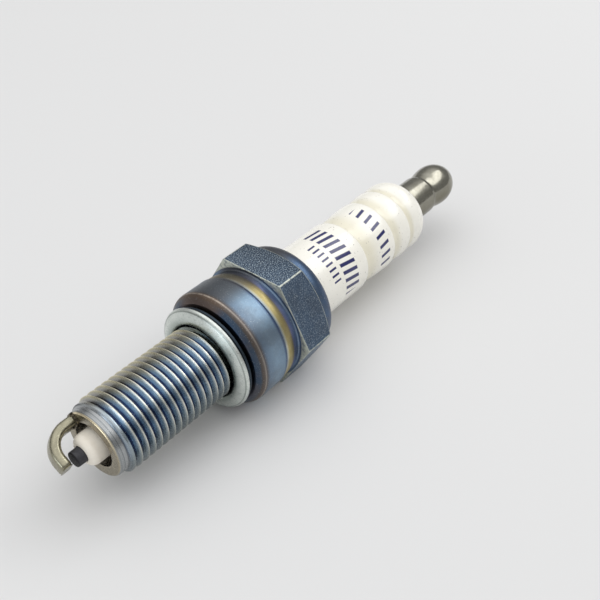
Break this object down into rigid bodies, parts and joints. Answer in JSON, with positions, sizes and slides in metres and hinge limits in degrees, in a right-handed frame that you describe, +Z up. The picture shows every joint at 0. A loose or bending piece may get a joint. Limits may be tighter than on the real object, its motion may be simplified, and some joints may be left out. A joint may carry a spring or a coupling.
{
  "type": "spark plug",
  "caption": "Threaded spark plug with a hexagon shell, captive folded gasket, ribbed white insulator, bent ground electrode and screw-on terminal nut.",
  "frame": {"origin": "on the surface the plug lies on, midway along its length, under its axis", "axes": "+X along the plug's axis from the firing end to the terminal, +Z up; the plug lies on one flat of its hexagon"},
  "size_m": [0.078, 0.0184, 0.016],
  "materials": {
    "shell_steel": "satin, zinc plated and passivated blue, straw heat tint on the ring before the hexagon",
    "strap_nickel": "satin, straw tinted",
    "gasket_steel": "satin zinc",
    "alumina": "glazed outside, matt at the nose",
    "packing_steel": "plain",
    "talc": "pressed powder",
    "electrode_dark": "matt, dark",
    "head_steel": "plain",
    "seal_glass": "fused, dark with copper powder",
    "resistor_carbon": "fused carbon and glass",
    "stud_steel": "nickel plated",
    "terminal_nickel": "bright nickel plate"
  },
  "bodies": {
    "plug": {"shell": "shell_steel", "ground_electrode": "strap_nickel", "insulator": "alumina", "seat_washer": "packing_steel", "lower_packing_ring": "packing_steel", "talc_fill": "talc", "upper_packing_ring": "packing_steel", "centre_electrode": "electrode_dark", "electrode_head": "head_steel", "lower_glass_seal": "seal_glass", "resistor": "resistor_carbon", "upper_glass_seal": "seal_glass", "terminal_stud": "stud_steel"},
    "gasket": {"gasket": "gasket_steel"},
    "terminal_nut": {"terminal_nut": "terminal_nickel"}
  },
  "joints": [
    {"name": "gasket_slide", "type": "slide", "parent": "plug", "child": "gasket", "axis": [1, 0, 0], "range_m": [-0.0002, 0.00028]},
    {"name": "terminal_nut_travel", "type": "slide", "parent": "plug", "child": "terminal_nut", "axis": [1, 0, 0], "range_m": [0, 0.011]}
  ]
}
